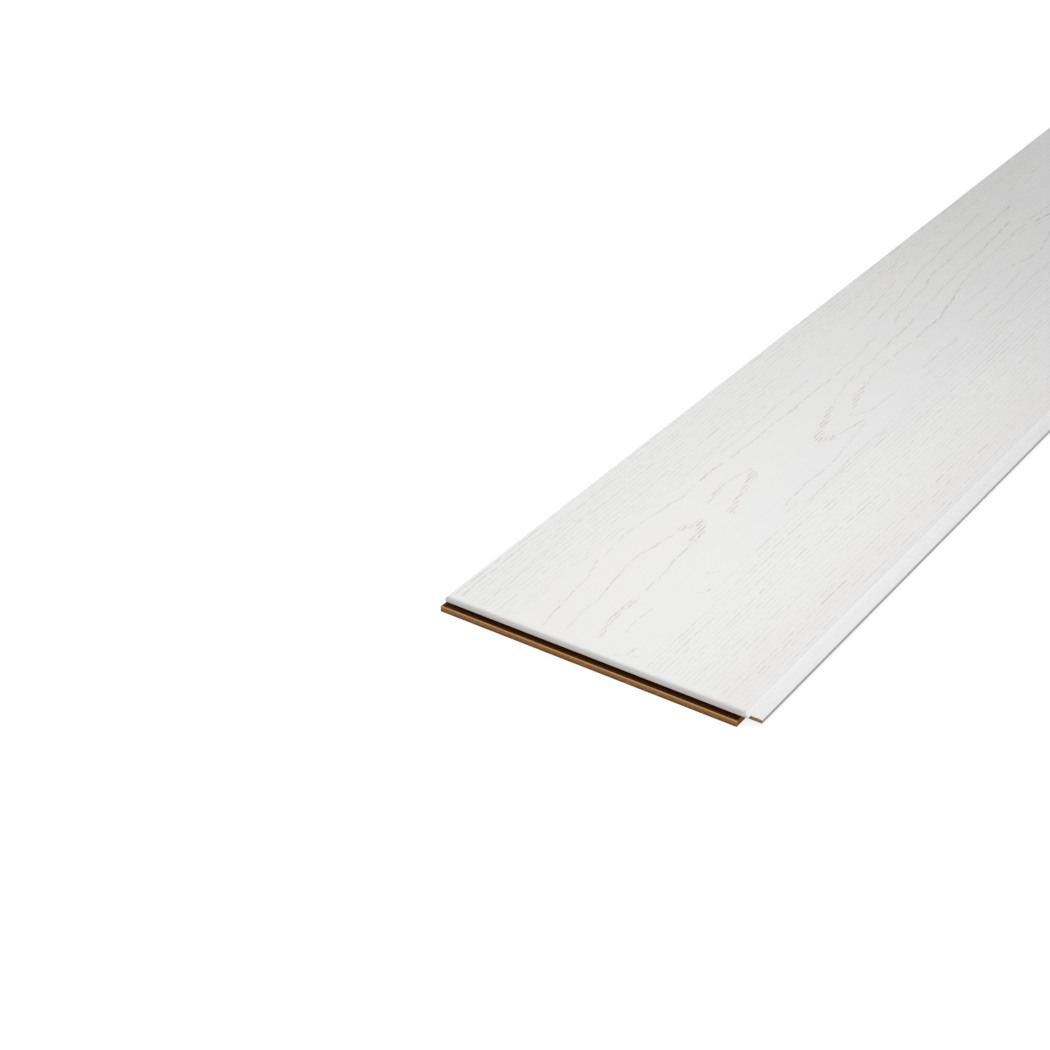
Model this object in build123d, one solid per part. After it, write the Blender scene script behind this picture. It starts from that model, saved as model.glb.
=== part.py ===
from build123d import *
import math
import os

# Tongue-and-groove wall panel: a fibreboard core with a thin decor film wrapped over its face.
# X runs across the panel towards the tongue, Y along it away from the grooved end,
# and Z from the back to the face. All sizes are in millimetres.

# Board
board_thickness = 10.0
cover_width = 200.0           # from one upper lip to the next panel's upper lip
cover_length = 1285.0         # the same along the panel
film_thickness = 0.3

# Groove edges: the left long edge and the near end
upper_lip_thickness = 3.5
lower_lip_thickness = 3.7
lower_lip_reach = 2.1         # how far the lower lip stands out past the upper lip
side_groove_depth = 6.3
end_groove_depth = 3.3
lip_edge_radius = 2.0
lip_ease = 0.35               # small chamfer along the lower lip

# Tongue edges: the right long edge and the far end
tongue_play = 0.15            # clearance above and below a tongue in its groove
tip_play = 0.35               # clearance between a tongue's tip and the bottom of its groove
tip_radius = 1.2
tongue_ease = 0.5             # chamfer under the tongue's tip
bevel_angle = 58.0
bevel_foot_radius = 0.5
shadow_strip = 1.1            # flat of the tongue that shows between bevel and next panel
side_clip_room = 4.5          # room under the long tongue for the fixing clips
end_room = 0.6                # room under the short tongue


def milled_section(cover, groove_depth, room, film):
    """Section across one pair of edges, groove side at zero, with its decor side pulled in by film."""
    face = board_thickness - film
    lip_under = board_thickness - upper_lip_thickness
    tongue_top = lip_under - tongue_play - film
    tongue_under = lower_lip_thickness + tongue_play
    tongue_tip = cover + groove_depth - tip_play
    body_side = cover - lower_lip_reach - room
    slope = math.radians(bevel_angle)
    bevel_foot = cover - shadow_strip - film * math.tan(slope / 2)
    bevel_head = bevel_foot - (face - tongue_top) / math.tan(slope)
    corners = [
        (-lower_lip_reach, 0, 0),
        (-lower_lip_reach, lower_lip_thickness - lip_ease, 0),
        (-lower_lip_reach + lip_ease, lower_lip_thickness, 0),
        (groove_depth, lower_lip_thickness, 0),
        (groove_depth, lip_under, 0),
        (film, lip_under, 0),
        (film, face, lip_edge_radius - film),
        (bevel_head, face, 0),
        (bevel_foot, tongue_top, bevel_foot_radius + film),
        (tongue_tip - film, tongue_top, tip_radius - film),
        (tongue_tip - film, tongue_under + tongue_ease - film, 0),
        (tongue_tip - tongue_ease, tongue_under, 0),
        (body_side, tongue_under, 0),
        (body_side, 0, 0),
    ]
    points = [(across, height) for across, height, radius in corners]
    radii = [radius for across, height, radius in corners]
    return make_face(FilletPolyline(*points, radius=radii, close=True))


def milled_panel(film):
    """Board shape left where the long-edge profile and the end profile both leave material."""
    side_section = milled_section(cover_width, side_groove_depth, side_clip_room, film)
    end_section = milled_section(cover_length, end_groove_depth, end_room, film)
    long_bar = extrude(Plane.XZ * side_section, amount=2 * cover_length, both=True)
    cross_bar = extrude(Plane.YZ * end_section, amount=2 * cover_width, both=True)
    return long_bar & cross_bar


def to_rest_frame(shape):
    """Put the middle of the whole panel's underside at the origin."""
    box = milled_panel(0).bounding_box()
    middle = (box.min + box.max) / 2
    return Pos(-middle.X, -middle.Y, 0) * shape


core_board = milled_panel(film_thickness)
decor_film = milled_panel(0) - core_board

os.makedirs("parts", exist_ok=True)
export_step(to_rest_frame(core_board), "parts/core_board.step")
export_step(to_rest_frame(decor_film), "parts/decor_film.step")
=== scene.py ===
import math

import bmesh
import bpy
import numpy as np
from mathutils import Matrix, Vector


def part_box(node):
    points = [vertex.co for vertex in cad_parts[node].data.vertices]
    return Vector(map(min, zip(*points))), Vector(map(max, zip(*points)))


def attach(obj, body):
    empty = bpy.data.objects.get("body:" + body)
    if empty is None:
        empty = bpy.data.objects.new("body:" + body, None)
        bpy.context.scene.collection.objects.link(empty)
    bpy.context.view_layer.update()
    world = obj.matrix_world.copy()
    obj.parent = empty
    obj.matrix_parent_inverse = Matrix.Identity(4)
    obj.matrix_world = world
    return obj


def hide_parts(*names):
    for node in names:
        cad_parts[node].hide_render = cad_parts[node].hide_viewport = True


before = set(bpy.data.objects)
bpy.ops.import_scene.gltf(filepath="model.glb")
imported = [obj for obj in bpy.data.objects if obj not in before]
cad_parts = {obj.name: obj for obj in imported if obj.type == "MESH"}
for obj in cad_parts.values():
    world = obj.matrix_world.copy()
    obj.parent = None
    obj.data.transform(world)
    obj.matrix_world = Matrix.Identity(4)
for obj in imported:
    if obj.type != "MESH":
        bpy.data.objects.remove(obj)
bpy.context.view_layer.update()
mm = 0.001
coreLow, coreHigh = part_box("core_board")
filmLow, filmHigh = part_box("decor_film")      # the film starts at the upper lip's left and near edges
faceLevel = filmHigh.z
print("stage: frame loaded, face at", round(faceLevel / mm, 2), "mm")


def toFrame(across, along, below=0.0):        # millimetres on the face to metres in the frame
    return Vector((filmLow.x + across * mm, filmLow.y + along * mm, faceLevel - below * mm))


def inMetres(values):
    return [value * mm for value in values]


# Node helpers

def addNode(tree, kind, **settings):
    node = tree.nodes.new(kind)
    for name, value in settings.items():
        if hasattr(node, name):
            setattr(node, name, value)
        else:
            node.inputs[name].default_value = value
    return node


def mathNode(tree, operation, first, second, clamp=False):
    node = tree.nodes.new("ShaderNodeMath")
    node.operation = operation
    node.use_clamp = clamp
    for socket, value in zip(node.inputs, (first, second)):
        if isinstance(value, (int, float)):
            socket.default_value = value
        else:
            tree.links.new(value, socket)
    return node.outputs[0]


def mixColour(tree, factor, first, second):
    node = tree.nodes.new("ShaderNodeMix")
    node.data_type = "RGBA"
    for socket, value in ((node.inputs[0], factor), (node.inputs[6], first), (node.inputs[7], second)):
        if isinstance(value, (int, float, tuple)):
            socket.default_value = value
        else:
            tree.links.new(value, socket)
    return node.outputs[2]


def spread(tree, value, low, high, newLow=0.0, newHigh=1.0):
    node = tree.nodes.new("ShaderNodeMapRange")
    tree.links.new(value, node.inputs["Value"])
    for name, number in (("From Min", low), ("From Max", high), ("To Min", newLow), ("To Max", newHigh)):
        node.inputs[name].default_value = number
    return node.outputs["Result"]


def fading(tree, value, low, high):           # 1 below low, 0 above high
    return spread(tree, value, low, high, 1.0, 0.0)


def times(tree, first, second):
    return mathNode(tree, "MULTIPLY", first, second)


def splitPlace(tree, place):                  # across, along and above
    parts = tree.nodes.new("ShaderNodeSeparateXYZ")
    tree.links.new(place, parts.inputs[0])
    return parts.outputs


def shade(red, green, blue):                  # screen values 0 to 255 as a linear colour
    def linear(level):
        level /= 255
        return level / 12.92 if level <= 0.04045 else ((level + 0.055) / 1.055) ** 2.4
    return (linear(red), linear(green), linear(blue), 1.0)


def newGroup(name, inputs, outputs):
    group = bpy.data.node_groups.new(name, "ShaderNodeTree")
    for label, kind, value in inputs:
        socket = group.interface.new_socket(label, in_out="INPUT", socket_type=kind)
        if value is not None:
            socket.default_value = value
    for label, kind in outputs:
        group.interface.new_socket(label, in_out="OUTPUT", socket_type=kind)
    return group, group.nodes.new("NodeGroupInput"), group.nodes.new("NodeGroupOutput")


def placeGroup(tree, group, place, **values):
    node = tree.nodes.new("ShaderNodeGroup")
    node.node_tree = group
    tree.links.new(place, node.inputs["Place"])
    for name, value in values.items():
        node.inputs[name].default_value = value
    return node


def noiseOf(tree, place, scale, detail=2.0, roughness=0.5):
    node = addNode(tree, "ShaderNodeTexNoise", Detail=detail, Roughness=roughness)
    tree.links.new(place, node.inputs["Vector"])
    if isinstance(scale, (int, float)):
        node.inputs["Scale"].default_value = scale
    else:
        tree.links.new(scale, node.inputs["Scale"])
    return node.outputs["Fac"]


def stretched(tree, place, length):           # the same place, pulled out along the panel
    across, along, above = splitPlace(tree, place)
    joined = tree.nodes.new("ShaderNodeCombineXYZ")
    for socket, value in zip(joined.inputs, (across, mathNode(tree, "DIVIDE", along, length), above)):
        tree.links.new(value, socket)
    return joined.outputs[0]


def buildStreaks():                           # fine lines along the panel, as a mask and a height
    group, given, out = newGroup(
        "streaks",
        [("Place", "NodeSocketVector", None), ("Fineness", "NodeSocketFloat", 900.0),
         ("Length", "NodeSocketFloat", 30.0), ("Threshold", "NodeSocketFloat", 0.55),
         ("Contrast", "NodeSocketFloat", 6.0)],
        [("Mask", "NodeSocketFloat"), ("Height", "NodeSocketFloat")])
    pulled = stretched(group, given.outputs["Place"], given.outputs["Length"])
    lines = noiseOf(group, pulled, given.outputs["Fineness"], detail=3.0, roughness=0.6)
    over = mathNode(group, "SUBTRACT", lines, given.outputs["Threshold"])
    mask = mathNode(group, "MULTIPLY", over, given.outputs["Contrast"], clamp=True)
    group.links.new(mask, out.inputs["Mask"])
    group.links.new(lines, out.inputs["Height"])
    return group


def buildDrift():                             # slow change of tone over the surface
    group, given, out = newGroup(
        "slowDrift",
        [("Place", "NodeSocketVector", None), ("Size", "NodeSocketFloat", 12.0),
         ("Length", "NodeSocketFloat", 3.0), ("Contrast", "NodeSocketFloat", 2.0)],
        [("Mask", "NodeSocketFloat")])
    pulled = stretched(group, given.outputs["Place"], given.outputs["Length"])
    cloud = noiseOf(group, pulled, given.outputs["Size"])
    centred = mathNode(group, "SUBTRACT", cloud, 0.5)
    scaled = times(group, centred, given.outputs["Contrast"])
    group.links.new(mathNode(group, "ADD", scaled, 0.5, clamp=True), out.inputs["Mask"])
    return group


streaks = buildStreaks()
slowDrift = buildDrift()


def newMaterial(name):
    material = bpy.data.materials.new(name)
    material.use_nodes = True
    tree = material.node_tree
    place = tree.nodes.new("ShaderNodeTexCoord").outputs["Object"]
    return material, tree, tree.nodes["Principled BSDF"], place


def addBump(tree, shader, height, distance, strength):
    bump = addNode(tree, "ShaderNodeBump", Distance=distance, Strength=strength)
    tree.links.new(height, bump.inputs["Height"])
    tree.links.new(bump.outputs["Normal"], shader.inputs["Normal"])


# White decor film. A band is in millimetres above the back, from where a tone starts to where it is full

filmFinish = {
    "white": shade(243, 242, 241),
    "shadeTone": shade(239, 239, 239),
    "drift": {"Size": 9.0, "Length": 4.0, "Contrast": 2.2},
    "rimTone": shade(237, 236, 235),          # the face greys a little towards the long tongue
    "rimBand": (155.0, 186.0),                # millimetres across the face
    "streakTone": shade(233, 231, 228),
    "streaks": {"Fineness": 1500.0, "Length": 45.0, "Threshold": 0.54},
    "streakAmount": 0.35,
    "tongueTone": shade(236, 235, 236),       # tops of the tongues
    "tongueStreakTone": shade(226, 225, 226),
    "tongueStreaks": {"Fineness": 520.0, "Length": 60.0, "Threshold": 0.5},
    "tongueStreakAmount": 0.5,
    "tongueBand": (6.36, 6.48),
    "bevelHighlightTone": shade(253, 252, 253),        # brighter white on the bevels: no streaks printed there, and a painted highlight
    "bevelBand": (6.38, 6.55, 8.8, 9.97),     # full between the middle two
    "bevelRoom": 11.0,                        # from the tongue's tip
    "tipShadeTone": shade(168, 167, 170),         # painted shade, grey down the tongue's tip
    "tipShadeBand": (5.8, 6.1),
    "tipRoom": 0.7,
    "lipTone": shade(238, 229, 222),          # and warms towards the groove on the upper lip's front
    "lipBand": (6.9, 8.2),
    "lipRoom": 0.5,                           # from the upper lip's front
    "soft": 0.1,                              # width over which one tone gives way to the next
    "roughness": (0.34, 0.44),
    "bumpDistance": 0.03 * mm,
    "bumpStrength": 0.35,
}


def faceTone(tree, look, place, across, streakMask):    # white, with slow shades and fine streaks
    drift = placeGroup(tree, slowDrift, place, **look["drift"]).outputs["Mask"]
    white = mixColour(tree, drift, look["white"], look["shadeTone"])
    low, high = inMetres(look["rimBand"])
    rim = spread(tree, across, filmLow.x + low, filmLow.x + high)
    ground = mixColour(tree, rim, white, look["rimTone"])
    amount = times(tree, streakMask, look["streakAmount"])
    return drift, mixColour(tree, amount, ground, look["streakTone"])


def tongueTone(tree, look, place):
    broad = placeGroup(tree, streaks, place, **look["tongueStreaks"]).outputs["Mask"]
    lined = times(tree, broad, look["tongueStreakAmount"])
    return mixColour(tree, lined, look["tongueTone"], look["tongueStreakTone"])


def bevelHighlightMask(tree, look, across, along, above):        # the bevels at the right and the far edge, where the highlight is painted
    foot, low, high, head = inMetres(look["bevelBand"])
    room, soft = inMetres((look["bevelRoom"], look["soft"]))
    right = spread(tree, across, filmHigh.x - room, filmHigh.x - room + soft)
    far = spread(tree, along, filmHigh.y - room, filmHigh.y - room + soft)
    slope = times(tree, spread(tree, above, foot, low), fading(tree, above, high, head))
    return times(tree, slope, mathNode(tree, "MAXIMUM", right, far))


def tipShadeMask(tree, look, across, above):                # painted shade down the long tongue's tip
    low, high = inMetres(look["tipShadeBand"])
    tip = filmHigh.x - look["tipRoom"] * mm
    return times(tree, fading(tree, above, low, high), spread(tree, across, tip, tip + look["soft"] * mm))


def lipMask(tree, look, across, along, above):          # the lower part of the upper lip's front
    low, high = inMetres(look["lipBand"])
    room, soft = inMetres((look["lipRoom"], look["soft"]))
    beside = fading(tree, across, filmLow.x + room, filmLow.x + room + soft)
    before = fading(tree, along, filmLow.y + room, filmLow.y + room + soft)
    return times(tree, mathNode(tree, "MAXIMUM", beside, before), fading(tree, above, low, high))


def filmMaterial(look):
    material, tree, shader, place = newMaterial("whiteDecorFilm")
    across, along, above = splitPlace(tree, place)
    fine = placeGroup(tree, streaks, place, **look["streaks"])
    drift, tone = faceTone(tree, look, place, across, fine.outputs["Mask"])
    onTongue = fading(tree, above, *inMetres(look["tongueBand"]))
    tone = mixColour(tree, onTongue, tone, tongueTone(tree, look, place))
    # painted highlight on the bevels
    tone = mixColour(tree, bevelHighlightMask(tree, look, across, along, above), tone, look["bevelHighlightTone"])
    # painted shade down the tongue's tip
    tone = mixColour(tree, tipShadeMask(tree, look, across, above), tone, look["tipShadeTone"])
    tone = mixColour(tree, lipMask(tree, look, across, along, above), tone, look["lipTone"])
    tree.links.new(tone, shader.inputs["Base Color"])
    tree.links.new(spread(tree, drift, 0.0, 1.0, *look["roughness"]), shader.inputs["Roughness"])
    addBump(tree, shader, fine.outputs["Height"], look["bumpDistance"], look["bumpStrength"])
    return material


# Grain ink lying in the embossed pores

inkFinish = {
    "greyFaint": shade(238, 237, 234),
    "greyDeep": shade(188, 181, 172),
    "tanFaint": shade(240, 233, 227),
    "tanDeep": shade(178, 162, 147),
    "drift": {"Size": 60.0, "Length": 5.0, "Contrast": 2.0},
    "cloud": (0.75, 1.15),                    # share of its ink that a pore shows
    "warmShare": 0.35,
    "roughness": 0.55,
}


def inkMaterial(name, look, faint, deep):
    material, tree, shader, place = newMaterial(name)
    depth = addNode(tree, "ShaderNodeAttribute", attribute_name="inkDepth").outputs["Fac"]
    warmth = addNode(tree, "ShaderNodeAttribute", attribute_name="inkTan").outputs["Fac"]
    drift = placeGroup(tree, slowDrift, place, **look["drift"]).outputs["Mask"]
    cloudy = spread(tree, drift, 0.0, 1.0, *look["cloud"])
    amount = mathNode(tree, "MULTIPLY", depth, cloudy, clamp=True)
    ink = mixColour(tree, amount, look[faint], look[deep])
    warm = times(tree, times(tree, warmth, depth), look["warmShare"])
    tree.links.new(mixColour(tree, warm, ink, look["tanDeep"]), shader.inputs["Base Color"])
    shader.inputs["Roughness"].default_value = look["roughness"]
    return material


# Brown fibreboard core

coreFinish = {
    "fibre": shade(192, 131, 64),
    "darkFibre": shade(158, 101, 46),
    "fibreScale": 2600.0,
    "fibreCut": (0.48, 0.68),                 # noise from where dark fibres start to where they are full
    "skinAndShadeTone": shade(72, 42, 16),           # darker towards the back: the board's denser skin and painted contact shade
    "skinFrom": 2.1,                          # millimetres above the back
    "skinDrift": {"Size": 45.0, "Length": 2.0, "Contrast": 2.4},
    "skinShare": (0.7, 1.0),
    "paleFleck": shade(214, 168, 112),
    "fleckScale": 900.0,
    "fleckCut": (0.58, 0.7),
    "fleckAmount": 0.5,
    "grooveShadeTone": shade(84, 48, 18),          # painted shade deep in the groove
    "grooveReach": (8.0, 9.0),                # from the lower lip's front, where the dark tone ends
    "grooveBand": (3.6, 3.7, 6.5, 6.6),       # full between the middle two
    "mouthRoom": 2.0,                         # this near the lower lip's front the painted shade is weaker
    "mouthShare": 0.88,
    "tongueRoom": 9.0,                        # the near groove's tone ends this far from the tongue's tip
    "edgeHighlightTone": shade(226, 180, 128),         # painted highlight along the lower lip's edge
    "edgeBand": (3.25, 3.4, 3.75),            # low, full and high
    "lipFront": (0.4, 0.55),                  # from the lower lip's front
    "lipEnd": 193.4,                          # right end of the near lower lip, where the line turns down
    "lineWidth": 0.5,
    "lineFoot": 0.8,
    "endTone": shade(176, 142, 112),          # sawn near end of the long tongue
    "sawnFrom": 8.6,                          # from the tongue's tip
    "sawnReach": 5.5,                         # from the lower lip's front
    "soft": 0.1,
    "roughness": (0.72, 0.88),
    "roughCut": (0.3, 0.7),
    "specular": 0.15,
    "bumpDistance": 0.12 * mm,
    "bumpStrength": 0.6,
}


def boardTone(tree, look, place, above, fibres):        # fibres and flecks, darker towards the back: the board's denser skin and painted contact shade
    blotch = placeGroup(tree, slowDrift, place, **look["skinDrift"]).outputs["Mask"]
    flecks = noiseOf(tree, place, look["fleckScale"])
    skin = spread(tree, above, look["skinFrom"] * mm, 0.0)
    skin = times(tree, skin, spread(tree, blotch, 0.0, 1.0, *look["skinShare"]))
    # the board's denser skin and painted contact shade towards the back
    base = mixColour(tree, skin, look["fibre"], look["skinAndShadeTone"])
    dark = mixColour(tree, spread(tree, fibres, *look["fibreCut"]), base, look["darkFibre"])
    pale = times(tree, spread(tree, flecks, *look["fleckCut"]), look["fleckAmount"])
    return mixColour(tree, pale, dark, look["paleFleck"])


def grooveShadeMask(tree, look, across, along, above):       # painted shade deep in the left and the near groove
    start, end = inMetres(look["grooveReach"])
    left = fading(tree, across, coreLow.x + start, coreLow.x + end)
    near = fading(tree, along, coreLow.y + start, coreLow.y + end)
    beside = mathNode(tree, "LESS_THAN", across, coreHigh.x - look["tongueRoom"] * mm)
    inside = mathNode(tree, "MAXIMUM", left, times(tree, near, beside))
    mouth, least = look["mouthRoom"] * mm, look["mouthShare"]
    leftMouth = spread(tree, across, coreLow.x, coreLow.x + mouth, least, 1.0)
    nearMouth = spread(tree, along, coreLow.y, coreLow.y + mouth, least, 1.0)
    foot, low, high, head = inMetres(look["grooveBand"])
    window = times(tree, spread(tree, above, foot, low), fading(tree, above, high, head))
    return times(tree, times(tree, inside, window), mathNode(tree, "MINIMUM", leftMouth, nearMouth))


def edgeHighlightMask(tree, look, across, along, above):         # painted highlight along the lower lip's edge, and down at its end
    low, full, high = inMetres(look["edgeBand"])
    front, back = inMetres(look["lipFront"])
    width, foot, soft = inMetres((look["lineWidth"], look["lineFoot"], look["soft"]))
    left = fading(tree, across, coreLow.x + front, coreLow.x + back)
    near = fading(tree, along, coreLow.y + front, coreLow.y + back)
    band = times(tree, spread(tree, above, low, full), fading(tree, above, high, high + soft))
    line = times(tree, band, mathNode(tree, "MAXIMUM", left, near))
    corner = filmLow.x + look["lipEnd"] * mm
    down = times(tree, spread(tree, across, corner - width, corner - width + soft),
                 fading(tree, across, corner, corner + soft))
    down = times(tree, times(tree, down, near), spread(tree, above, foot, full))
    return mathNode(tree, "MAXIMUM", line, down)


def sawnMask(tree, look, across, along):                # the long tongue's near end
    start, reach, soft = inMetres((look["sawnFrom"], look["sawnReach"], look["soft"]))
    onTongue = spread(tree, across, coreHigh.x - start, coreHigh.x - start + soft)
    return times(tree, onTongue, fading(tree, along, coreLow.y + reach, coreLow.y + reach + soft))


def coreMaterial(look):
    material, tree, shader, place = newMaterial("fibreboard")
    across, along, above = splitPlace(tree, place)
    fibres = noiseOf(tree, place, look["fibreScale"], detail=4.0, roughness=0.7)
    tone = boardTone(tree, look, place, above, fibres)
    # painted shade in the grooves
    tone = mixColour(tree, grooveShadeMask(tree, look, across, along, above), tone, look["grooveShadeTone"])
    # painted highlight along the lower lip's edge
    tone = mixColour(tree, edgeHighlightMask(tree, look, across, along, above), tone, look["edgeHighlightTone"])
    tone = mixColour(tree, sawnMask(tree, look, across, along), tone, look["endTone"])
    tree.links.new(tone, shader.inputs["Base Color"])
    low, high = look["roughCut"]
    tree.links.new(spread(tree, fibres, low, high, *look["roughness"]), shader.inputs["Roughness"])
    shader.inputs["Specular IOR Level"].default_value = look["specular"]
    addBump(tree, shader, fibres, look["bumpDistance"], look["bumpStrength"])
    return material


filmWhite = filmMaterial(filmFinish)
grainInk = inkMaterial("grainInk", inkFinish, "greyFaint", "greyDeep")
figureInk = inkMaterial("figureInk", inkFinish, "tanFaint", "tanDeep")
fibreboard = coreMaterial(coreFinish)
print("stage: materials made")

# Grain plan: the pores run along the panel in lanes, and rings of them draw the figure.
# Lengths are in millimetres. A pair of chances, inks or tans is what noise at 0 and at 1 gives

grain = {
    "ringPitch": (2.5, 3.9),                  # between two fine lines
    "ringStrength": (0.25, 1.0),
    "laneRoom": 0.45,                         # a lane takes at least this width
    "edgeRoom": 0.7,                          # plain border of the face
    "sideRoom": 0.8,                          # and as much more at its long sides
    "planStep": 0.5,
    "knotStep": 25.0,
    "seed": 7,
}

grainWaves = {                                # how the lanes bend, all together
    "calmEdges": (6.0, 190.0),                # across, where they run straight
    "calmRoom": 18.0,
    "longWave": (1.0, 65.0, 60.0),            # size, then how slowly it turns along and across
    "shortWave": (0.4, 27.0, 35.0),
    "shift": 1.3,
}

fineLines = {
    "mainChance": 0.98,
    "sideChance": 0.45,                       # beside a fine line, where it is wider
    "quietChance": 0.30,                      # share of the fine lines that cross the quiet middle
    "quietFrom": (320.0, 380.0),              # along, from none to all of that share
    "edgeCells": (60, 90),                    # the noise that frays the quiet middle's edges
    "edgeJitter": 9.0,
    "edgeSoft": 5.0,
    "patchCells": (14, 22),
    "patchChance": (0.75, 1.15),
    "brokenLanes": 6,                         # lanes to a cell of the noise that breaks the lines
    "brokenCells": 30,
    "brokenChance": (-0.2, 0.7),
    "spotCells": (90, 90),
    "ink": (0.24, 0.82),
    "strengthInk": (0.45, 1.0),
    "sideInk": 0.55,
    "quietInk": (0.5, 1.0),
    "brokenInk": (0.6, 1.4),
    "tanCells": (12, 40),
    "tanFrom": 0.6,
    "tanMost": 0.25,
}

boldLines = {
    "ink": 0.86,
    "chance": 0.97,
    "sway": 1.3,
    "swayCells": 160,
    "swell": 0.8,
    "halfShare": 0.6,                         # of the width below, to each side of the line
    "leastHalf": 0.35,
    "overrun": 1.0,                           # past its first and last point
    "wideFrom": 1.9,                          # a bold line wider than this is hatched, not filled
    "hatch": (5, 2),                          # of every five lanes, two make one stroke
    "patchInk": (0.7, 1.2),
    "patchTan": (0.6, 1.2),
    "edgeFade": 0.6,
}

# Where the fine lines stop beside the quiet middle: (along, across)
leftEdge = [(0, 43), (60, 46), (150, 47), (220, 48), (300, 42), (340, 36), (400, 30), (500, 26),
            (640, 22), (760, 34), (900, 46), (1050, 40), (1285, 44)]
rightEdge = [(0, 128), (60, 127), (110, 124), (170, 120), (230, 117), (300, 117), (350, 113), (400, 107),
             (500, 108), (640, 102), (760, 112), (900, 122), (1050, 126), (1285, 118)]

# Bold lines of the figure: width, ink, tan, then points (across, along) from near to far
figureLines = [
    (1.3, 0.55, 0.10, [(63, 4), (61, 20), (59, 38), (57, 58)]),
    (2.6, 0.60, 0.75, [(57, 60), (54, 70), (51, 78)]),
    (1.3, 0.50, 0.10, [(52, 84), (50, 104), (51, 128), (53, 146), (56, 166), (55, 180)]),
    (1.7, 0.70, 0.75, [(55, 186), (54.5, 200), (55, 212)]),
    (1.4, 0.60, 0.15, [(56, 220), (57.5, 240), (57, 256), (58, 275), (58.5, 300), (58, 320), (59.5, 345)]),
    (1.3, 0.55, 0.10, [(59, 352), (59, 372), (58.5, 390), (57, 402), (55, 416)]),
    (1.4, 0.55, 0.15, [(76, 10), (74.5, 32), (74, 50), (71, 64), (69.5, 82), (69.5, 98),
                       (72, 112), (74, 126)]),
    (4.0, 0.65, 0.70, [(75, 130), (77, 138), (80, 146)]),
    (4.6, 0.65, 0.80, [(88, 124), (86, 134), (83, 142), (80.5, 149)]),
    (1.4, 0.60, 0.15, [(92, 66), (92, 80), (91, 93), (89, 108), (88, 122)]),
    (3.4, 0.75, 0.95, [(95.5, 13), (94, 22), (92, 32), (91.5, 44), (93, 58)]),
    (1.1, 0.45, 0.20, [(105, 24), (104.5, 38), (105, 54)]),
    (3.4, 0.70, 0.75, [(73, 166), (71.5, 178), (69.5, 190)]),
    (1.6, 0.35, 0.30, [(70, 192), (72, 206), (75, 217)]),
    (5.0, 0.60, 0.75, [(90, 164), (87, 176), (83.5, 190), (80, 202), (77, 214)]),
    (5.2, 0.75, 0.85, [(91, 267), (89, 273), (87.5, 280), (85.5, 287)]),
    (4.8, 0.75, 0.90, [(85.5, 286), (83, 295), (80, 303), (78, 313)]),
    (5.0, 0.70, 0.80, [(91, 267), (94, 272), (97, 278)]),
    (1.7, 0.75, 0.30, [(97.5, 279), (100, 287), (101.5, 298), (103, 308)]),
    (2.4, 0.70, 0.60, [(95, 308), (92, 313), (90, 319), (87.5, 327)]),
    (3.4, 0.75, 0.95, [(87.5, 326), (85.5, 334), (84, 344), (81.5, 354)]),
    (1.4, 0.60, 0.20, [(81, 356), (79, 372), (80, 392), (80, 420)]),
    (1.5, 0.55, 0.10, [(95, 308), (98, 313), (101, 322), (102, 336), (103, 352)]),
    (1.4, 0.55, 0.10, [(76, 318), (74, 328), (71.5, 346), (70, 364), (70, 382), (69, 400), (67.5, 418),
                       (66.5, 440), (65, 462), (63, 482), (61, 504), (60, 530), (58.5, 556), (56.5, 584),
                       (54.5, 612), (53, 640)]),
    (1.6, 0.85, 0.25, [(80, 428), (80, 448), (80, 468)]),
    (1.7, 0.75, 0.20, [(79, 470), (77, 486), (74, 500), (71, 514)]),
    (1.3, 0.50, 0.10, [(70, 516), (67, 540), (66, 572), (65, 602), (64, 644), (66, 690)]),
    (1.5, 0.60, 0.10, [(57, 440), (54, 452), (52, 474), (50, 500), (48.5, 512)]),
    (1.4, 0.60, 0.05, [(47, 508), (45, 524), (44, 546), (42.5, 580), (42, 628), (41, 668)]),
    (1.3, 0.55, 0.05, [(45, 440), (42.5, 470), (39, 498), (35.5, 522), (33, 552), (31, 576),
                       (29, 602), (27, 640)]),
    (1.3, 0.45, 0.05, [(37, 412), (35, 440), (31.5, 470), (28, 500)]),
    (1.4, 0.50, 0.10, [(85, 490), (85.5, 520), (86, 540), (84, 556)]),
    (2.0, 0.85, 0.50, [(86, 562), (88, 574), (90.5, 584), (93, 600), (92, 612)]),
    (1.4, 0.50, 0.10, [(91, 614), (88, 628), (84, 646), (81, 676)]),
    (1.4, 0.50, 0.05, [(98.5, 468), (99, 510), (98, 540), (95.5, 562)]),
    (1.4, 0.50, 0.05, [(107, 470), (109, 520), (107, 566), (108, 590)]),
    (1.3, 0.50, 0.10, [(48, 222), (48.5, 250), (48, 276), (47.5, 300), (47, 336)]),
    (1.3, 0.60, 0.15, [(8, 3), (7.5, 30), (7, 66), (7.5, 84), (9, 104), (9.5, 132), (10.5, 164)]),
    (1.1, 0.45, 0.10, [(23, 4), (23, 36), (21.5, 64), (22, 80), (19.5, 102), (18, 122)]),
    (1.5, 0.60, 0.10, [(113.5, 188), (112, 198), (111.5, 206), (111.5, 226), (112.5, 246), (111, 264),
                       (109.5, 280), (107, 304)]),
    (1.4, 0.55, 0.10, [(122.5, 202), (121.5, 214), (121, 240), (119, 264), (120.5, 292), (121, 306)]),
    (1.5, 0.65, 0.30, [(103, 392), (103, 420), (104.5, 444)]),
    (2.2, 0.85, 0.20, [(112.5, 101), (117, 106)]),
    (2.0, 0.85, 0.15, [(118, 80), (121, 83), (122.5, 88)]),
    (1.4, 0.55, 0.35, [(118, 9), (118.5, 17)]),
    (1.6, 0.55, 0.35, [(113, 5), (118, 8), (124, 10)]),
]


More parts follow.
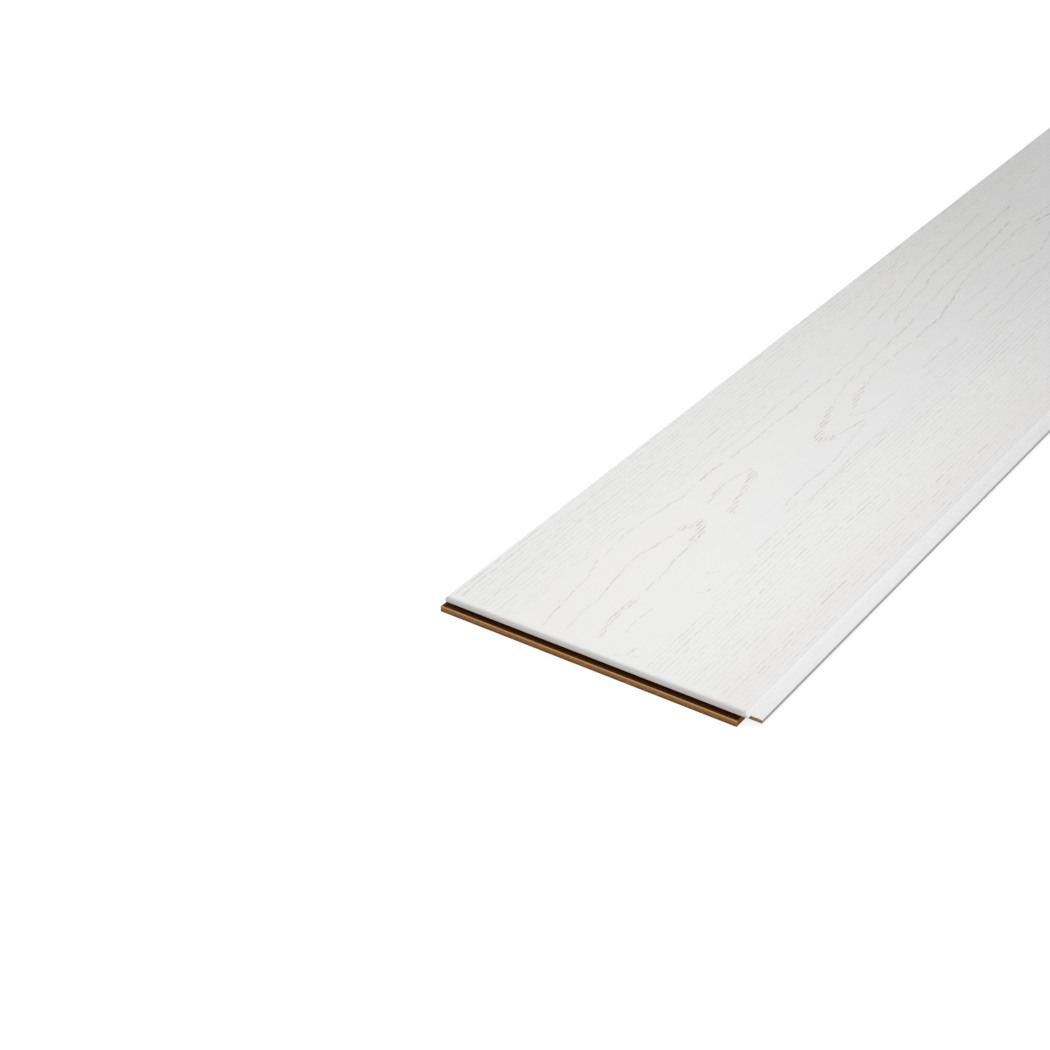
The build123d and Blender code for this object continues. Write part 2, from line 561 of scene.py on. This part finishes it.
arches = {                                    # nested arches for the part out of the photo
    "armStep": 34.0,                          # from one arch to the next, along
    "growth": 0.25,                           # how much wider the next one is
    "bend": 0.55,
    "points": 6,
    "width": (2.0, 0.3),                      # of the first arch, and how much less the next one has
    "ink": (0.7, 0.08),
    "warmArms": 2,
    "plainTan": 0.1,
}


def cathedral(tip, opening, arms, reach, halfWidth, warm):
    lines = []
    for arm in range(arms):
        start = tip[1] + opening * arm * arches["armStep"]
        wide = halfWidth * (1 + arches["growth"] * arm)
        for side in (-1, 1):
            shares = [step / (arches["points"] - 1) for step in range(arches["points"])]
            points = [(tip[0] + side * wide * share ** arches["bend"], start + opening * reach * share)
                      for share in shares]
            width, less = arches["width"]
            ink, fainter = arches["ink"]
            tan = warm if arm < arches["warmArms"] else arches["plainTan"]
            lines.append((width - less * arm, ink - fainter * arm, tan, points[::opening]))
    return lines


figureLines += cathedral((84, 742), -1, 3, 60, 12, 0.7)
figureLines += cathedral((92, 812), 1, 3, 90, 13, 0.8)
figureLines += cathedral((78, 1010), 1, 3, 110, 15, 0.6)
figureLines += cathedral((84, 1202), 1, 2, 80, 12, 0.5)


def between(noise, ends):                     # noise from 0 to 1 as a value between two ends
    return ends[0] + (ends[1] - ends[0]) * noise


def smoothNoise(rng, rows, columns, rowCells, columnCells):  # values from 0 to 1 that change slowly
    coarse = rng.random((rowCells + 2, columnCells + 2))

    def eased(count, cells):
        at = np.linspace(0, cells, count)
        whole = np.floor(at).astype(int)
        part = at - whole
        return whole, part * part * (3 - 2 * part)
    row, rowPart = eased(rows, rowCells)
    column, columnPart = eased(columns, columnCells)
    near = coarse[row][:, column] * (1 - columnPart) + coarse[row][:, column + 1] * columnPart
    far = coarse[row + 1][:, column] * (1 - columnPart) + coarse[row + 1][:, column + 1] * columnPart
    return near * (1 - rowPart[:, None]) + far * rowPart[:, None]


def wander(across, along):                    # how far a lane bends, nothing at the face's edges
    low, high = grainWaves["calmEdges"]
    calm = np.clip(np.minimum(across - low, high - across) / grainWaves["calmRoom"], 0, 1)
    size, slowAlong, slowAcross = grainWaves["longWave"]
    long = size * np.sin(along / slowAlong + across / slowAcross)
    size, slowAlong, slowAcross = grainWaves["shortWave"]
    short = size * np.sin(along / slowAlong + grainWaves["shift"] + across / slowAcross)
    return calm * (long + short)


def layLanes(plan, rng, low, high):           # a ring's first lane is its fine line, the next lies beside
    lanes, mains, at = [], [], low
    while at < high:
        pitch = rng.uniform(*plan["ringPitch"])
        strength = rng.uniform(*plan["ringStrength"])
        count = int(pitch / plan["laneRoom"])
        for lane in range(count):
            place = at + pitch * lane / count
            if place < high:
                lanes.append(place)
                mains.append((strength, -strength)[lane] if lane < 2 else 0.0)
        at += pitch
    return np.array(lanes), np.array(mains)


def fineGrain(plan, rng, mains, across, along):  # patches, chance, ink and tan of the fine lines
    size = across.shape
    left = np.interp(along, *zip(*leftEdge))[None, :]
    right = np.interp(along, *zip(*rightEdge))[None, :]
    jitter = (smoothNoise(rng, *size, *plan["edgeCells"]) - 0.5) * plan["edgeJitter"]
    leftOf = np.clip((left + jitter - across) / plan["edgeSoft"], 0, 1)
    rightOf = np.clip((across - right + jitter) / plan["edgeSoft"], 0, 1)
    flank = np.clip(leftOf + rightOf, 0, 1)
    patches = smoothNoise(rng, *size, *plan["patchCells"])
    strength = np.abs(mains)[:, None]
    isMain, isSide = mains[:, None] > 0, mains[:, None] < 0
    quiet = np.interp(along, plan["quietFrom"], (0.0, plan["quietChance"]))[None, :]
    chance = np.where(isMain, plan["mainChance"] * np.maximum(flank, quiet), 0.0)
    chance = np.where(isSide, plan["sideChance"] * flank, chance)
    broken = smoothNoise(rng, *size, len(mains) // plan["brokenLanes"], plan["brokenCells"])
    kept = np.clip(strength + between(broken, plan["brokenChance"]), 0, 1)
    chance = chance * kept * between(patches, plan["patchChance"])
    ink = between(smoothNoise(rng, *size, *plan["spotCells"]) ** 2, plan["ink"])
    ink = ink * between(strength, plan["strengthInk"]) * np.where(isSide, plan["sideInk"], 1.0)
    ink = ink * between(flank, plan["quietInk"]) * between(broken, plan["brokenInk"])
    warm = smoothNoise(rng, *size, *plan["tanCells"]) - plan["tanFrom"]
    tan = plan["tanMost"] * np.clip(warm, 0, 1) / (1 - plan["tanFrom"])
    return patches, chance, ink, tan


def drawFigure(plan, rng, across, along, patches, chance, ink, tan):    # bold lines over the fine ones
    bold = np.zeros(across.shape, bool)
    every, stroke = plan["hatch"]
    hatch = (np.arange(len(across)) % every < stroke)[:, None]
    for width, depth, warm, points in figureLines:
        places = np.array(points, float)
        centre = np.interp(along, places[:, 1], places[:, 0])
        slope = np.abs(np.gradient(centre, along))
        sway, swell = smoothNoise(rng, 2, len(along), 1, plan["swayCells"]) - 0.5
        centre = centre + plan["sway"] * sway
        half = width * plan["halfShare"] * np.sqrt(1 + slope ** 2) * (1 + plan["swell"] * swell)
        half = np.maximum(half, plan["leastHalf"])
        offset = np.abs(across - centre[None, :]) / half[None, :]
        first, last = places[0, 1] - plan["overrun"], places[-1, 1] + plan["overrun"]
        near = (offset < 1) & ((along >= first) & (along <= last))[None, :]
        bold |= near
        deep = plan["ink"] * depth * between(patches, plan["patchInk"])
        deep = deep * (1 - plan["edgeFade"] * np.minimum(offset, 1) ** 2)
        inStroke = hatch | (width <= plan["wideFrom"])
        chance = np.where(near, plan["chance"], chance)
        ink = np.where(near, np.where(inStroke, deep, 0.0), ink)
        tan = np.where(near, warm * between(patches, plan["patchTan"]), tan)
    return chance, np.clip(ink, 0, 1), np.clip(tan, 0, 1), bold


def runsOf(mask, along):                      # the stretches of a lane that a bold line covers
    ends = np.flatnonzero(np.diff(np.concatenate(([0], mask.astype(int), [0]))))
    return [(along[first], along[min(last, len(along) - 1)]) for first, last in ends.reshape(-1, 2)]


pore = {
    "endRoom": 0.2,                           # plain ends of a lane
    "firstGap": (0.0, 2.0),
    "length": (6.0, 22.0),
    "gap": (0.7, 2.4),
    "skip": (1.2, 3.0),                       # step on where no pore is sown
    "shortest": 1.2,
    "clear": (1.5, 0.4),                      # a fine pore starts and ends this far before a bold line
    "boldLength": (7.0, 14.0),                # pores of the bold lines stand closer
    "boldGap": (0.4, 1.2),
    "boldShift": (-0.3, 0.3),
    "boldShortest": 1.0,
    "boldRest": 1.5,                          # a shorter rest joins the pore before it
    "inkSpread": (0.6, 1.35),
    "width": (0.26, 0.40),
    "widthSpread": 0.25,
    "taper": 2.0,                             # length of its pointed end
    "taperMost": 0.55,                        # and the most of its half length that the taper takes
    "shortLength": 5.5,                       # a pore shorter than this has one step, not two
    "depth": 0.05,
    "inkBelow": 0.008,                        # the ink's top lies this far under the face
    "inkFoot": 0.8,                           # share of the depth that the ink reaches down
    "inkDrawIn": 0.12,
    "tanFrom": 0.4,                           # a pore warmer than this belongs to the tan figure
}


def stepAt(place, along):                     # the plan's column at a place along
    return min(int((place - along[0]) / grain["planStep"]), len(along) - 1)


def sowLane(look, rng, along, end, chance, ink, tan, bold):     # one lane's pores, near to far
    pores, at = [], along[0] + rng.uniform(*look["firstGap"])

    def isSown(length):
        return rng.random() < chance[stepAt(at + length / 2, along)]

    def addPore(length):
        middle = stepAt(at + length / 2, along)
        depth = min(1, ink[middle] * rng.uniform(*look["inkSpread"]))
        width = between(min(1, depth + look["widthSpread"] * rng.random()), look["width"])
        pores.append((at, at + length, width, depth, tan[middle]))
    clearStart, clearEnd = look["clear"]
    for first, last in runsOf(bold, along) + [(end, end)]:
        while at < first - clearStart:
            length = min(rng.uniform(*look["length"]), first - clearEnd - at)
            if length > look["shortest"] and isSown(length):
                addPore(length)
                at += length + rng.uniform(*look["gap"])
            else:
                at += rng.uniform(*look["skip"])
        at = max(at, first + rng.uniform(*look["boldShift"]))
        while last - at > look["boldShortest"]:
            length = rng.uniform(*look["boldLength"])
            if last - at < length + look["boldRest"]:
                length = last - at
            if isSown(length):
                addPore(length)
            at += length + rng.uniform(*look["boldGap"])
    return pores


def sowPores(plan, rng, low, high):
    lanes, mains = layLanes(plan, rng, low[0], high[0])
    start, end = low[1] + pore["endRoom"], high[1] - pore["endRoom"]
    along = np.arange(start, end, plan["planStep"])
    across = lanes[:, None] + wander(lanes[:, None], along[None, :])
    fine = fineGrain(fineLines, rng, mains, across, along)
    painted = drawFigure(boldLines, rng, across, along, *fine)
    return lanes, [sowLane(pore, rng, along, end, *lane) for lane in zip(*painted)]


def poreOutline(lane, spot, share=1.0):       # its two tips, left side, right side and keel, near to far
    start, end, width = spot[:3]
    middle, reach = (start + end) / 2, (end - start) / 2 * (1 - pore["inkDrawIn"] * (1 - share))

    def pointAt(step, offset):
        along = middle + reach * step
        return lane + wander(lane, along) + offset, along
    half = width / 2 * share
    shoulder = 1 - min(pore["taperMost"], pore["taper"] / reach)
    steps = (0.0,) if end - start < pore["shortLength"] else (-shoulder, shoulder)
    left, right, keel = ([pointAt(step, offset) for step in steps] for offset in (-half, half, 0.0))
    return pointAt(-1, 0.0), pointAt(1, 0.0), left, right, keel


def pairedFaces(start, end, left, right, keel):   # the two slopes of one pore, normals up
    faces = [(start, keel[0], left[0]), (start, right[0], keel[0])]
    for step in range(len(keel) - 1):
        faces.append((left[step], keel[step], keel[step + 1], left[step + 1]))
        faces.append((keel[step], right[step], right[step + 1], keel[step + 1]))
    faces += [(left[-1], keel[-1], end), (keel[-1], right[-1], end)]
    return faces


emboss = {
    "tiny": 1e-6,                             # metres
    "closeBy": 1e-4,
    "longEdge": 0.1,
    "up": 0.999,                              # least upward part of a flat face's normal
    "sharpFrom": 32.0,                        # degrees between two faces
    "rimCuts": (59, 11),                      # of a long and of a short edge
}


def openFace(look):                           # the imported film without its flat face, its rim cut finely
    mesh = bmesh.new()
    mesh.from_mesh(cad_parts["decor_film"].data)
    bmesh.ops.remove_doubles(mesh, verts=mesh.verts, dist=look["tiny"])
    top = [face for face in mesh.faces
           if face.normal.z > look["up"] and abs(face.calc_center_median().z - faceLevel) < look["tiny"]]
    bmesh.ops.delete(mesh, geom=top, context="FACES")
    for face in mesh.faces:
        face.smooth = True
    sharp = math.radians(look["sharpFrom"])
    for edge in mesh.edges:
        edge.smooth = len(edge.link_faces) < 2 or edge.calc_face_angle() < sharp
    rim = [edge for edge in mesh.edges if edge.is_boundary]
    long = [edge for edge in rim if abs(edge.verts[0].co.y - edge.verts[1].co.y) > look["longEdge"]]
    short = [edge for edge in rim if edge not in long]
    for edges, cuts in zip((long, short), look["rimCuts"]):
        bmesh.ops.subdivide_edges(mesh, edges=edges, cuts=cuts)
    return mesh


def rimRows(mesh, low, high):                 # the rim's points at its near, far, left and right side
    rim = {vert for edge in mesh.edges if edge.is_boundary for vert in edge.verts}
    first, last = toFrame(*low), toFrame(*high)
    closeBy = emboss["closeBy"]
    near = sorted((vert for vert in rim if vert.co.y < first.y + closeBy), key=lambda vert: vert.co.x)
    far = sorted((vert for vert in rim if vert.co.y > last.y - closeBy), key=lambda vert: vert.co.x)
    left = sorted((vert for vert in rim if vert.co.x < first.x + closeBy), key=lambda vert: vert.co.y)
    right = sorted((vert for vert in rim if vert.co.x > last.x - closeBy), key=lambda vert: vert.co.y)
    return near, far, left, right


def embossLane(mesh, lane, spots, low, high):  # a lane's pores, and the lines to their left and right
    def vertAt(place, below=0.0):
        return mesh.verts.new(toFrame(*place, below))

    def bentAt(along):
        return vertAt((lane + wander(lane, along), along))

    def knotsTo(near, far):                   # plain points that keep an empty stretch on its curve
        count = int((far - near) / grain["knotStep"])
        return [bentAt(near + (far - near) * (step + 1) / (count + 1)) for step in range(count)]
    first = bentAt(low)
    leftLine, rightLine, at = [first], [first], low
    for spot in spots:
        knots = knotsTo(at, spot[0])
        start, end, left, right, keel = poreOutline(lane, spot)
        start, end = vertAt(start), vertAt(end)
        left = [vertAt(place) for place in left]
        right = [vertAt(place) for place in right]
        keel = [vertAt(place, pore["depth"]) for place in keel]
        for corners in pairedFaces(start, end, left, right, keel):
            mesh.faces.new(corners).smooth = False
        leftLine += [*knots, start, *left, end]
        rightLine += [*knots, start, *right, end]
        at = spot[1]
    rest = [*knotsTo(at, high), bentAt(high)]
    return leftLine + rest, rightLine + rest


def embossFilm(lanes, rows, low, high):
    mesh = openFace(emboss)
    near, far, west, east = rimRows(mesh, low, high)
    room = grain["edgeRoom"] / 2
    first, last = low[1] + room, high[1] - room
    sides = [embossLane(mesh, lane, spots, first, last) for lane, spots in zip(lanes, rows)]
    rights = [west] + [right for left, right in sides]
    lefts = [left for left, right in sides] + [east]
    plains = [[*two, *one[::-1]] for one, two in zip(rights, lefts)]
    plains.append([*near, *(left[0] for left, right in sides[::-1])])
    plains.append([*(left[-1] for left, right in sides), *far[::-1]])
    for corners in plains:
        mesh.faces.new(corners).smooth = True
    bmesh.ops.recalc_face_normals(mesh, faces=mesh.faces)
    made = bpy.data.meshes.new("embossedFilm")
    mesh.to_mesh(made)
    mesh.free()
    return made


def flatReach():                              # the flat face's near left and far right corner
    places = [vert.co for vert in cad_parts["decor_film"].data.vertices
              if abs(vert.co.z - faceLevel) < emboss["tiny"]]
    across = [(place.x - filmLow.x) / mm for place in places]
    along = [(place.y - filmLow.y) / mm for place in places]
    return (min(across), min(along)), (max(across), max(along))


flatLow, flatHigh = flatReach()
print("stage: flat face", [round(value, 2) for value in flatLow + flatHigh])
endRoom = grain["edgeRoom"]
sideRoom = endRoom + grain["sideRoom"]
lanes, rows = sowPores(grain, np.random.default_rng(grain["seed"]),
                       (flatLow[0] + sideRoom, flatLow[1] + endRoom),
                       (flatHigh[0] - sideRoom, flatHigh[1] - endRoom))
print("stage: lanes", len(lanes), "pores", sum(len(row) for row in rows))


def makeFilm():
    film = bpy.data.objects.new("face_film", embossFilm(lanes, rows, flatLow, flatHigh))
    bpy.context.scene.collection.objects.link(film)
    film.data.materials.append(filmWhite)
    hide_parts("decor_film")
    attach(film, "root")
    return film


def makeInk(name, material, wanted):
    places, faces, depths, tans = [], [], [], []
    share = 1 - pore["inkBelow"] / pore["depth"]
    for lane, spots in zip(lanes, rows):
        for spot in spots:
            if not wanted(spot):
                continue
            start, end, left, right, keel = poreOutline(lane, spot, share)
            base, count = len(places), len(keel)
            places += [toFrame(*place, pore["inkBelow"]) for place in (start, end, *left, *right)]
            places += [toFrame(*place, pore["depth"] * pore["inkFoot"]) for place in keel]
            leftAt, rightAt, keelAt = ([base + 2 + row * count + step for step in range(count)]
                                       for row in range(3))
            under = pairedFaces(base, base + 1, leftAt, rightAt, keelAt)
            lid = (base, *rightAt, base + 1, *leftAt[::-1])
            new = [corners[::-1] for corners in under] + [lid]
            faces += new
            depths += [spot[3]] * len(new)
            tans += [spot[4]] * len(new)
    data = bpy.data.meshes.new(name)
    data.from_pydata(places, [], faces)
    for attribute, values in (("inkDepth", depths), ("inkTan", tans)):
        data.attributes.new(attribute, "FLOAT", "FACE").data.foreach_set("value", values)
    ink = bpy.data.objects.new(name, data)
    bpy.context.scene.collection.objects.link(ink)
    data.materials.append(material)
    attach(ink, "root")
    return ink


film = makeFilm()
greyInk = makeInk("grain_ink", grainInk, lambda spot: spot[4] < pore["tanFrom"])
tanInk = makeInk("figure_ink", figureInk, lambda spot: spot[4] >= pore["tanFrom"])
for piece in (film, greyInk, tanInk):
    piece.data.calc_loop_triangles()
    print("stage:", piece.name, len(piece.data.loop_triangles), "triangles")

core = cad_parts["core_board"]
core.data.materials.clear()
core.data.materials.append(fibreboard)

# Studio

studio = {
    "ambient": 0.50,
    "white": 1.0,                             # strength of the background as the camera sees it
    "floorSize": 16.0,
    "floorDrop": 0.0003,
    "floorTone": (0.62, 0.62, 0.62, 1.0),
    "floorLift": 0.80,
    "floorRoughness": 0.9,
    "floorSpecular": 0.1,
}

lamps = {
    "keyLight": {"place": (0.17, -0.30, 1.05), "aim": (0.0, -0.79, 0.0), "size": (0.7, 0.7),
                 "power": 1.99, "spread": 94.0},
    "farLight": {"place": (0.0, 0.58, 0.95), "aim": (0.0, 0.60, 0.0), "size": (0.5, 0.5),
                 "power": 0.40, "spread": 52.0},
}


def seenMask(tree):                           # 1 for rays from the camera, also by way of gloss or glass
    paths = tree.nodes.new("ShaderNodeLightPath")
    seen = mathNode(tree, "MAXIMUM", paths.outputs["Is Camera Ray"], paths.outputs["Is Glossy Ray"])
    return mathNode(tree, "MAXIMUM", seen, paths.outputs["Is Transmission Ray"])


def makeWorld(look):
    world = bpy.data.worlds.new("studioAir")
    bpy.context.scene.world = world
    world.use_nodes = True
    tree = world.node_tree
    strength = spread(tree, seenMask(tree), 0.0, 1.0, look["ambient"], look["white"])
    tree.links.new(strength, tree.nodes["Background"].inputs["Strength"])
    tree.nodes["Background"].inputs["Color"].default_value = (1, 1, 1, 1)


def makeFloor(look):
    bpy.ops.mesh.primitive_plane_add(size=look["floorSize"], location=(0, 0, -look["floorDrop"]))
    floor = bpy.context.object
    floor.name = "floor"
    material = bpy.data.materials.new("paleFloor")
    material.use_nodes = True
    tree = material.node_tree
    shader = tree.nodes["Principled BSDF"]
    shader.inputs["Base Color"].default_value = look["floorTone"]
    shader.inputs["Roughness"].default_value = look["floorRoughness"]
    shader.inputs["Specular IOR Level"].default_value = look["floorSpecular"]
    shader.inputs["Emission Color"].default_value = (1, 1, 1, 1)
    tree.links.new(times(tree, seenMask(tree), look["floorLift"]), shader.inputs["Emission Strength"])
    floor.data.materials.append(material)


def addLamp(name, look):
    data = bpy.data.lights.new(name, "AREA")
    data.spread = math.radians(look["spread"])
    data.shape = "RECTANGLE"
    data.size, data.size_y = look["size"]
    data.energy = look["power"]
    lamp = bpy.data.objects.new(name, data)
    bpy.context.scene.collection.objects.link(lamp)
    lamp.location = look["place"]
    aim = Vector(look["aim"]) - Vector(look["place"])
    lamp.rotation_euler = aim.to_track_quat("-Z", "Y").to_euler()


makeWorld(studio)
makeFloor(studio)
for name, look in lamps.items():
    addLamp(name, look)

# Camera

view = {
    "place": (636.2, -782.3, 681.3),          # millimetres from the face's near left corner
    "turn": 36.461,
    "down": 32.241,
    "roll": -1.851,
    "focalPixels": 2138.0,
    "framePixels": 1050.0,
    "sensor": 36.0,
    "clip": (0.02, 60.0),
}


def makeCamera(look):
    data = bpy.data.cameras.new("camera")
    data.sensor_fit = "HORIZONTAL"
    data.sensor_width = look["sensor"]
    data.lens = look["focalPixels"] / look["framePixels"] * look["sensor"]
    data.clip_start, data.clip_end = look["clip"]
    camera = bpy.data.objects.new("camera", data)
    bpy.context.scene.collection.objects.link(camera)
    across, along, above = look["place"]
    aim = (Matrix.Rotation(math.radians(look["turn"]), 4, "Z")
           @ Matrix.Rotation(math.radians(90 - look["down"]), 4, "X")
           @ Matrix.Rotation(math.radians(look["roll"]), 4, "Z"))
    camera.matrix_world = Matrix.Translation(toFrame(across, along, -above)) @ aim
    bpy.context.scene.camera = camera


makeCamera(view)
bpy.context.scene.view_settings.view_transform = "Standard"
print("stage: studio and camera set")
